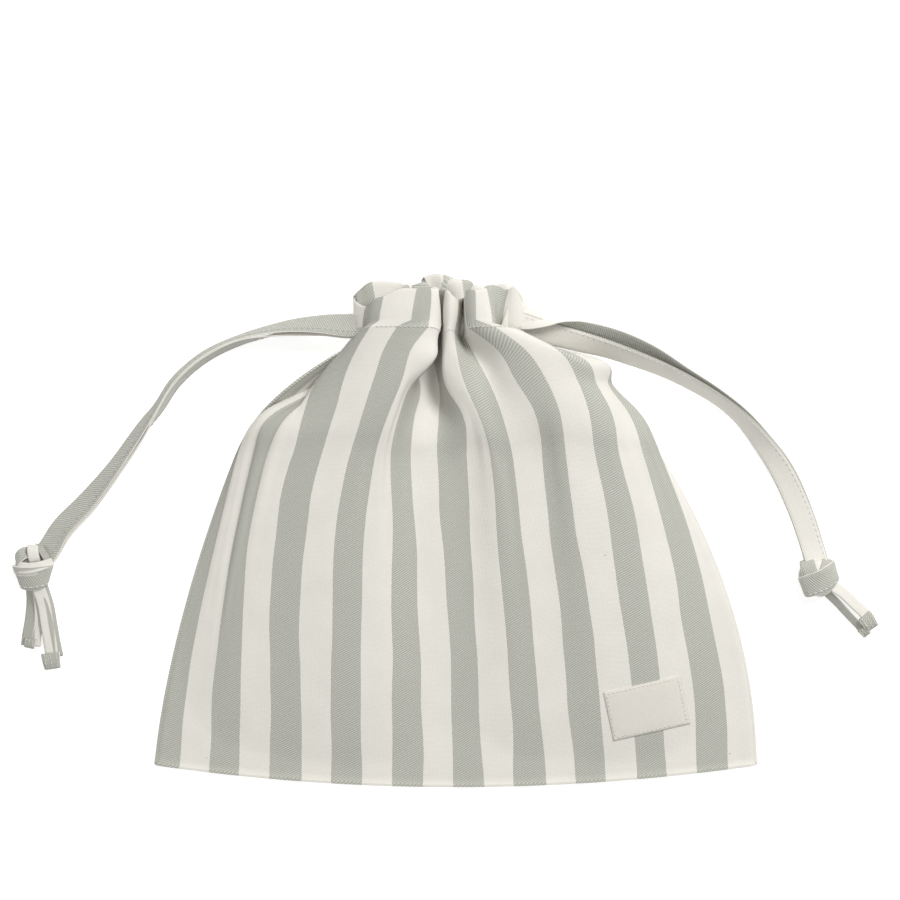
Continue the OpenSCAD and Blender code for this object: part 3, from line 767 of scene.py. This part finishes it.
class Cloth:
    """A closed sleeve of cloth, front and back in one ring, joined at its two sides and its bottom.

    Threads keep their length, shear and bend resist, and it all settles under gravity."""

    def __init__(self, columns, rows):
        self.n, self.rows = columns, rows
        self.ring = 2 * columns
        u = np.linspace(0, CLOTH_WIDTH, columns + 1)
        self.share = np.linspace(0, 1, rows + 1)
        front, back = gathered(u, self.share, levels), gathered(u, self.share, back_levels)
        self.points = np.concatenate([front, back[:, -2:0:-1]], 1).reshape(-1, 3)
        self.set_threads()

    def set_threads(self):
        ring = self.ring
        across, up = CLOTH_WIDTH / self.n, FLAT_LENGTH / self.rows
        slant = math.hypot(across, up)
        i, j = np.meshgrid(np.arange(ring), np.arange(self.rows + 1))
        index = j * ring + i
        turned = lambda k: np.roll(index, -k, axis=1)
        self.sets = []
        taken_in = TAKEN_IN + (1 - TAKEN_IN) * smooth(self.share, 0.86, 1.0)

        def add(a, b, flat, stiff, parity, taut=1.0):
            now = np.linalg.norm(self.points[a] - self.points[b], axis=-1)
            share = np.broadcast_to(taken_in[: len(a), None], now.shape)
            rest = taut * (flat + share * (now - flat))
            for c in range(2):
                pick = parity == c
                self.sets.append((a[pick], b[pick], rest[pick], stiff))

        add(index, turned(1), across, 1.0, i % 2)
        add(index[:-1], index[1:], up, 1.0, j[:-1] % 2, TAUT)
        add(index[:-1], turned(1)[1:], slant, 0.25, i[:-1] % 2, TAUT)
        add(turned(1)[:-1], index[1:], slant, 0.25, i[:-1] % 2, TAUT)
        add(index, turned(2), 2 * across, 0.12, i // 2 % 2)
        add(index[:-2], index[2:], 2 * up, 0.12, j[:-2] // 2 % 2, TAUT)
        self.home = self.points.copy()
        hold = 0.01 + 0.5 * smooth(self.share, 0.74, 0.95)
        hold[0] = hold[-1] = 1
        self.hold = np.repeat(hold, ring)[:, None]

    def settle(self, steps, gravity=0.02 * MM, damping=0.9):
        p, before = self.points, self.points.copy()
        n, ring = self.n, self.ring
        front = np.arange(1, n)
        rows = np.arange(self.rows + 1)[:, None] * ring
        over, under = (rows + front).ravel(), (rows + ring - front).ravel()
        bottom = np.arange(ring)
        pair = (ring - bottom) % ring
        gap = np.repeat(CLOTH_GAP * (1 - smooth(self.share, 0.6, 0.8)), n - 1)
        lying = np.repeat(self.share < 0.8, n - 1)
        for _ in range(steps):
            now = p.copy()
            p += (p - before) * damping
            before = now
            p[:, 2] -= gravity
            p += (self.home - p) * self.hold
            for a, b, rest, stiff in self.sets:
                d = p[b] - p[a]
                length = np.sqrt((d * d).sum(1)) + 1e-9
                d *= (0.5 * stiff * (length - rest) / length)[:, None]
                p[a] += d
                p[b] -= d
            p[bottom] = (p[bottom] + p[pair]) / 2
            short = np.where(lying, gap - (p[over, 2] - p[under, 2]), 0).clip(0)
            p[over, 2] += short
            p[:, 2] = np.maximum(p[:, 2], TABLE_GAP)
        return self

    def finer(self):
        """The same cloth with twice as many threads each way."""
        rows, ring = self.rows, self.ring
        p = self.points.reshape(rows + 1, ring, 3)
        left, right = np.roll(p, 1, 1), np.roll(p, -1, 1)
        between = (9 * (p + right) - left - np.roll(p, -2, 1)) / 16
        wide = np.stack([p, between], 2).reshape(rows + 1, 2 * ring, 3)
        padded = np.concatenate([2 * wide[:1] - wide[1:2], wide, 2 * wide[-1:] - wide[-2:-1]])
        mid = (9 * (padded[1:-2] + padded[2:-1]) - padded[:-3] - padded[3:]) / 16
        tall = np.zeros((2 * rows + 1, 2 * ring, 3))
        tall[::2], tall[1::2] = wide, mid
        new = object.__new__(Cloth)
        new.n, new.rows, new.ring = 2 * self.n, 2 * rows, 2 * ring
        new.share = np.linspace(0, 1, new.rows + 1)
        new.points = tall.reshape(-1, 3)
        return new

    def panel(self, front):
        p = self.points.reshape(self.rows + 1, self.ring, 3)
        around = np.concatenate([p, p[:, :1]], 1)
        return p[:, : self.n + 1] if front else around[:, self.n:][:, ::-1]


# ---------------- the bag
def cloth_places(columns, low, high, rows):
    u, v = np.meshgrid(np.linspace(0, CLOTH_WIDTH, columns), np.linspace(low, high, rows))
    return np.stack([u.ravel(), v.ravel()], 1)


def cotton(ob, node):
    return dressed(ob, COTTON, "bag", node, slot="striped_cotton")


def surface(name, grid, low, high, flip=False):
    rows, columns, _ = grid.shape
    places = cloth_places(columns, low, high, rows)
    return mesh_piece(name, grid.reshape(-1, 3), grid_faces(rows, columns, flip), places)


COLUMNS, ROWS = 60, 48  # threads of the first, coarse cloth
COARSE_STEPS, FINE_STEPS = 220, 160
cloth = Cloth(COLUMNS, ROWS).settle(COARSE_STEPS)
cloth = cloth.finer()
cloth.set_threads()
cloth.settle(FINE_STEPS)
cloth = cloth.finer()
front, back = cloth.panel(True), cloth.panel(False)
front_cloth = cotton(surface("front_cloth", front, 0, FLAT_LENGTH), "front_panel")
back_cloth = cotton(surface("back_cloth", back, 0, FLAT_LENGTH, flip=True), "back_panel")

# ---------------- casings
CASING_ROWS, FOLD_ROWS = 15, 4
CASING_BULGE = 0.6 * MM
TUNNEL = 2.6 * MM  # between a casing's outer and inner layer
BACK_BULGE, BACK_TUNNEL = 0.2 * MM, 6.0 * MM
u_fine = np.linspace(0, CLOTH_WIDTH, front.shape[1])


def across_cloth(table):
    """The columns of a given table, at every thread across the cloth."""
    rows = np.array(table, float) * MM
    return [curve(rows[:, 0], rows[:, k], u_fine) for k in range(1, rows.shape[1])]


def normals_of(grid):
    return unit(np.cross(np.gradient(grid, axis=1), np.gradient(grid, axis=0)))


def tunnel(neck, base, top, facing, bulge, depth):
    """A casing: outer layer from the stitches up, a rounded fold, and the inner layer back down."""
    q = np.linspace(0, 1, CASING_ROWS)[:, None, None]
    outer = base + (top - base) * q
    outer[0] = neck
    swell = np.sin(math.pi * q[:, 0, 0])[:, None] * bulge
    outer = outer + normals_of(outer) * swell[..., None] * facing
    inward = -normals_of(outer) * facing
    inner = outer + inward * depth * np.minimum(1, 0.25 + 3 * q)
    edge, far = outer[-1], inner[-1]
    out_of = unit((top - neck)) * depth * 0.5
    fold = []
    for k in range(1, FOLD_ROWS):
        a = math.pi * k / FOLD_ROWS
        fold.append((edge + far) / 2 + (edge - far) / 2 * math.cos(a) + out_of * math.sin(a))
    return np.concatenate([outer, np.array(fold), inner[::-1]])


crown_x, crown_z, crown_y = across_cloth(CROWN)
front_top = np.stack([crown_x, crown_y, crown_z], 1)
base_x, base_z = across_cloth(BASE)
front_base = np.stack([base_x, front[-1, :, 1] + BASE_RISE, base_z], 1)
front_ruffle = tunnel(front[-1], front_base, front_top, 1, CASING_BULGE, TUNNEL)
# Across the back: sideways place and height up the bag of the casing's top, mm
BACK_TOP = [
    (0, -40, 144), (32, -44, 145), (60, -42, 145), (110, -36, 145), (141, -22, 146), (152, -21, 147),
    (160, -20, 149.5), (168, -13, 152), (178, -7, 151.5), (186, -6.6, 148), (196, -6, 148.6),
    (206, -2, 148.8), (214, 2.5, 148), (223, 7, 147.4), (232, 11, 146), (250, 14, 144), (300, 27, 146),
    (330, 32, 144), (360, 36, 139),
]
BACK_TOP_Z, BACK_TOP_WAVE = 1.5 * MM, 3 * MM
back_wave = BACK_TOP_WAVE * (0.5 - 0.5 * np.cos(2 * math.pi * BACK_FOLDS * u_fine / CLOTH_WIDTH))
back_top = np.stack([*across_cloth(BACK_TOP), BACK_TOP_Z + back_wave], 1)
back_ruffle = tunnel(back[-1], back[-1], back_top, -1, BACK_BULGE, BACK_TUNNEL)
BACK_LOW = 0.6 * MM  # least height over the table
back_ruffle[..., 2] = np.maximum(back_ruffle[..., 2], BACK_LOW)
CASING_LENGTH = 2 * CASING_RISE + 2 * MM
for name, grid, flip, node in (("front_casing_cloth", front_ruffle, False, "front_casing"),
                               ("back_casing_cloth", back_ruffle, True, "back_casing")):
    cotton(surface(name, grid, FLAT_LENGTH, FLAT_LENGTH + CASING_LENGTH, flip), node)

# ---------------- seams
SEAM_WIDE, SEAM_THICK = 1.8 * MM, 1.2 * MM
SEAM_SUNK = 0.55 * MM  # the bottom seam lies flush with the front
SEAM_NARROW = 0.4 * MM  # the side seams taper to this at the neck
SEAM_CLOTH = 0.1 * MM  # the seams' cloth keeps this far inside the cloth's edge


def seam(name, line, normals, cloth_line, outward, node, widths=SEAM_WIDE):
    points, faces, _ = strip_parts(line, normals, widths, SEAM_THICK)
    widths = np.broadcast_to(widths, (len(line),))
    across = np.array(SECTION)[None, :, :1] * widths[:, None, None] * np.array(outward)
    places = (cloth_line[:, None] + across).reshape(-1, 2)
    places[:, 0] = places[:, 0].clip(SEAM_CLOTH, CLOTH_WIDTH - SEAM_CLOTH)
    cotton(mesh_piece(name, points, faces, places), node)


up_the_side = np.linspace(0, FLAT_LENGTH, len(front))
for side, column, u, out in (("left", 0, 0.4 * MM, -1), ("right", -1, CLOTH_WIDTH - 0.4 * MM, 1)):
    line = front[:, column]
    places = np.stack([np.full_like(up_the_side, u), up_the_side], 1)
    facing = np.tile([0.25 * out, 0.0, 1.0], (len(line), 1))
    taper = SEAM_WIDE * smooth(line[:, 1], STITCH_Y + 4 * MM, STITCH_Y - 30 * MM)
    seam(f"{side}_side_seam_cloth", line, facing, places, (1, 0), f"{side}_side_seam",
         np.maximum(taper, SEAM_NARROW))
bottom_line = front[0] - [0, 0, SEAM_SUNK]
bottom_places = np.stack([u_fine, np.full_like(u_fine, 0.5 * MM)], 1)
seam("bottom_seam_cloth", bottom_line, upwards(len(bottom_line)), bottom_places,
     (0, -1), "bottom_seam")

# ---------------- stitching
# Runs of the casing stitches that can be seen, by their place across the cloth, mm
SEEN_STITCHES = [(2, 20), (60, 68), (90, 140), (196, 214), (236, 300), (335, 358)]


def casing_stitches(name, edge, below, node, spans, facing):
    normal = unit(np.cross(np.gradient(edge, axis=0), below - edge)) * facing
    normal *= np.sign(normal[:, 2:3] * facing + 1e-9)
    parts = []
    for low, high in spans:
        pick = (u_fine >= low * MM) & (u_fine <= high * MM)
        line = edge[pick]
        if along(line)[-1] > 4 * MM:
            parts += stitches(line, normal[pick], 0, 0.15 * MM, 1.9 * MM, 0.8 * MM, 0.5 * MM)
    dressed(joined(name, parts), SEWING, "bag", node, slot="thread")


casing_stitches("front_casing_thread", front[-1], front[-4], "front_casing_stitching", SEEN_STITCHES, 1)
casing_stitches("back_casing_thread", back[-1], back[-4], "back_casing_stitching", [(4, 356)], -1)
TACK_BARS, TACK_STEP, TACK_POINTS = 5, 1.1 * MM, 7
# One bar of the tack, from the middle of the opening: inwards and up, mm
TACK_BAR = [(0, -2.6), (0, 1.6), (2.4, 3.4)]
for side, column, inwards in (("left", 0, 1), ("right", -1, -1)):
    middle = (front[-1, column] + back[-1, column]) / 2
    bars = []
    for k in range(TACK_BARS):
        y = k * TACK_STEP - 2.4 * MM
        p = [middle + [inwards * x * MM, y, z * MM] for x, z in TACK_BAR]
        facing = np.tile([-inwards, 0, 0.3], (TACK_POINTS, 1))
        bars.append(strip_parts(route(p, TACK_POINTS), facing, 0.7 * MM, 0.5 * MM))
    tack = joined(f"{side}_opening_tack_thread", bars)
    dressed(tack, SEWING, "bag", f"{side}_opening_tack", slot="thread")

# ---------------- label
LABEL_MIDDLE, LABEL_SIZE, LABEL_TURN = (114.0, -105.0), (47.0, 30.0), 12.5
LABEL_THICK, LABEL_PUFF = 0.5 * MM, 0.5 * MM
LABEL_COLUMNS, LABEL_ROWS = 40, 26
LABEL_UNDER, LABEL_SIDE = 0.4 * MM, 0.9 * MM  # how far its underside and its side edges go into the cloth
LABEL_MARGIN, BORDER_POINTS = 1.6, 60  # where its stitches run, mm from its edge
tree = BVHTree.FromPolygons([Vector(p) for p in front.reshape(-1, 3)],
                            [tuple(int(i) for i in f) for f in grid_faces(*front.shape[:2])])


def on_cloth(x, y, fallback=8 * MM):
    hit = tree.ray_cast(Vector((x, y, 0.2)), Vector((0, 0, -1)))[0]
    return hit.z if hit else fallback


turn = math.radians(LABEL_TURN)
a, b = np.meshgrid(np.linspace(-0.5, 0.5, LABEL_COLUMNS), np.linspace(-0.5, 0.5, LABEL_ROWS))
lx, ly = a * LABEL_SIZE[0], b * LABEL_SIZE[1]
gx = (LABEL_MIDDLE[0] + lx * math.cos(turn) - ly * math.sin(turn)) * MM
gy = (LABEL_MIDDLE[1] + lx * math.sin(turn) + ly * math.cos(turn)) * MM
gz = np.vectorize(on_cloth)(gx, gy)
for _ in range(6):  # the ribbon is stiff, so it bridges the small dips
    z = np.pad(gz, 1, mode="edge")
    gz = np.maximum(gz, (z[:-2, 1:-1] + z[2:, 1:-1] + z[1:-1, :-2] + z[1:-1, 2:]) / 4)
puff = LABEL_THICK + LABEL_PUFF * (1 - (2 * a) ** 6) * (1 - (2 * b) ** 6)
sheet_top = np.stack([gx, gy, gz + puff], -1)
sheet_low = np.stack([gx, gy, gz - LABEL_UNDER], -1)
ribbon_rows = np.concatenate([sheet_low[:1], sheet_top, sheet_low[-1:]])
turned_in = [ribbon_rows[:, k] - [0, 0, LABEL_SIDE] for k in (slice(None, 1), slice(-1, None))]
ribbon_rows = np.concatenate([turned_in[0], ribbon_rows, turned_in[1]], 1)
ribbon_places = np.stack([np.pad(k, 1, mode="edge").ravel() for k in (lx, ly)], 1) * MM
ribbon = mesh_piece("label_ribbon_cloth", ribbon_rows.reshape(-1, 3),
                    grid_faces(LABEL_ROWS + 2, LABEL_COLUMNS + 2), ribbon_places)
dressed(ribbon, LABEL, "bag", "label", slot="label_ribbon")
border = []
for fixed, sign in ((0, -1), (0, 1), (1, -1), (1, 1)):
    t, still = np.linspace(-0.5, 0.5, BORDER_POINTS), np.zeros(BORDER_POINTS)
    if fixed == 0:
        px, py = t * (LABEL_SIZE[0] - 2 * LABEL_MARGIN), still + sign * (LABEL_SIZE[1] / 2 - LABEL_MARGIN)
    else:
        px, py = still + sign * (LABEL_SIZE[0] / 2 - LABEL_MARGIN), t * (LABEL_SIZE[1] - 2 * LABEL_MARGIN)
    i = (px / LABEL_SIZE[0] + 0.5) * (LABEL_COLUMNS - 1)
    j = (py / LABEL_SIZE[1] + 0.5) * (LABEL_ROWS - 1)
    i0, j0 = i.astype(int).clip(0, LABEL_COLUMNS - 2), j.astype(int).clip(0, LABEL_ROWS - 2)
    fi, fj = (i - i0)[:, None], (j - j0)[:, None]
    line = ((sheet_top[j0, i0] * (1 - fi) + sheet_top[j0, i0 + 1] * fi) * (1 - fj)
            + (sheet_top[j0 + 1, i0] * (1 - fi) + sheet_top[j0 + 1, i0 + 1] * fi) * fj)
    border += stitches(line, upwards(BORDER_POINTS), 0, 0.02 * MM, 1.7 * MM, 0.9 * MM, 0.45 * MM)
dressed(joined("label_thread", border), SEWING, "bag", "label_stitching", slot="thread")

# ---------------- tapes inside the casings
between_layers = (front_ruffle[:CASING_ROWS] + front_ruffle[::-1][:CASING_ROWS]) / 2
# Across the front, in mm: from where each string comes in to where the ruffles hide its turn
RUN_SPAN = {"left": (6, 276), "right": (354, 99)}
RUN_ROWS = {"left": (0.55, 0.85), "right": (0.15, 0.45)}  # how high up the casing each string lies
# The run in the back: where it comes in and where it turns, its height up the bag at both, and its width
RUN_NEAR = {"left": -46 * MM, "right": 36 * MM}
RUN_FAR = {"left": 17 * MM, "right": -33 * MM}
RUN_LOW_Y, RUN_HIGH_Y = 129.0 * MM, 141.2 * MM
RUN_POINTS, RUN_WIDE, RUN_SUNK = 90, 10 * MM, 1.0 * MM
# The turn: its width, and how far below the front run and above the back run it starts
BIGHT_WIDE, BIGHT_POINTS = 6 * MM, 40
BIGHT_UNDER, BIGHT_OVER = 1.5 * MM, 0.8 * MM


def threaded(span, rows):
    """A string gathered along with the casing that it runs through, between its two layers."""
    low, high = (int(round(share * (CASING_ROWS - 1))) for share in rows)
    start, end = (int(np.searchsorted(u_fine, edge * MM)) for edge in span)
    pick = np.arange(start, end, 1 if end > start else -1)
    up = normals_of(between_layers)[low: high + 1, pick] * 0.35 * TAPE_THICK
    lying = between_layers[low: high + 1, pick]
    rings = np.concatenate([lying + up, (lying - up)[::-1]]).transpose(1, 0, 2)
    middle = lying.mean(0)
    return ring_parts(rings, np.linspace(0, 2 * TAPE_WIDTH, rings.shape[1] + 1), along(middle)), middle


for side, out in (("left", 1), ("right", -1)):
    top_parts, top_path = threaded(RUN_SPAN[side], RUN_ROWS[side])
    low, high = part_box(f"{side}_back_run")
    x = np.linspace(RUN_NEAR[side], RUN_FAR[side], RUN_POINTS)
    y = RUN_LOW_Y + (RUN_HIGH_Y - RUN_LOW_Y) * smooth(np.linspace(0, 1, RUN_POINTS), 0.15, 0.85)
    low_path = np.stack([x, y, np.full_like(x, (low[2] + high[2]) / 2 - RUN_SUNK)], 1)
    low_parts = strip_parts(low_path, upwards(RUN_POINTS), RUN_WIDE, TAPE_THICK)
    for layer, parts in (("front", top_parts), ("back", low_parts)):
        run = joined(f"{side}_{layer}_run_tape", [parts])
        dressed(run, SAGE_TAPE, f"{side}_string", f"{side}_{layer}_run", slot="tape")
    top, bottom = top_path[-1] - [0, 0, BIGHT_UNDER], low_path[-1] + [0, 0, BIGHT_OVER]
    middle = (top + bottom) / 2
    bend = [top, top + [out * 1.2 * MM, 0, -1.5 * MM], middle + [out * 3.5 * MM, 0, 0],
            bottom + [out * 1.5 * MM, 0, 1.5 * MM], bottom]
    p = route(bend, BIGHT_POINTS)
    facing = unit(p - middle + [out * 2 * MM, 0, 0])
    loop = joined(f"{side}_bight_tape", [strip_parts(p, facing, BIGHT_WIDE, TAPE_THICK)])
    dressed(loop, SAGE_TAPE, f"{side}_string", f"{side}_bight", slot="tape")

# ---------------- floor, light and background
def made_light(name, at, size, power):
    data = bpy.data.lights.new(name, "AREA")
    data.energy, data.size = power, size
    ob = bpy.data.objects.new(name, data)
    ob.location = Vector(at)
    ob.rotation_euler = (-Vector(at)).to_track_quat("-Z", "Y").to_euler()
    bpy.context.collection.objects.link(ob)


FLOOR_HALF, FLOOR_Z = 0.75, -0.0002
PAPER_GREY, PAPER_GLOW = 0.80, 0.54
WORLD_LIGHT = 0.42  # the sky's share of the light; the camera sees it white
floor = mesh_piece("floor", [(x * FLOOR_HALF, y * FLOOR_HALF, FLOOR_Z)
                             for x, y in ((-1, -1), (1, -1), (1, 1), (-1, 1))],
                   [(0, 1, 2, 3)], [(0, 0), (1, 0), (1, 1), (0, 1)])
paper = bpy.data.materials.new("paper")
paper.use_nodes = True
paper_inputs = paper.node_tree.nodes["Principled BSDF"].inputs
for key, value in (("Base Color", (PAPER_GREY,) * 3 + (1,)), ("Roughness", 1.0),
                   ("Specular IOR Level", 0.0), ("Emission Color", (1, 1, 1, 1)),
                   ("Emission Strength", PAPER_GLOW)):
    paper_inputs[key].default_value = value
floor.data.materials.append(paper)
made_light("key", (0.8, 1.05, 1.4), 0.7, 29.5)
made_light("fill", (-1.0, -0.3, 1.6), 1.2, 6.5)
world = bpy.data.worlds.new("white")
bpy.context.scene.world = world
world.use_nodes = True
backdrop = world.node_tree.nodes["Background"]
backdrop.inputs["Color"].default_value = (1, 1, 1, 1)
rays = world.node_tree.nodes.new("ShaderNodeLightPath")
strength = world.node_tree.nodes.new("ShaderNodeMapRange")
strength.inputs["To Min"].default_value = WORLD_LIGHT
strength.inputs["To Max"].default_value = 1.0
world.node_tree.links.new(rays.outputs["Is Camera Ray"], strength.inputs["Value"])
world.node_tree.links.new(strength.outputs[0], backdrop.inputs["Strength"])
bpy.context.scene.view_settings.view_transform = "Standard"
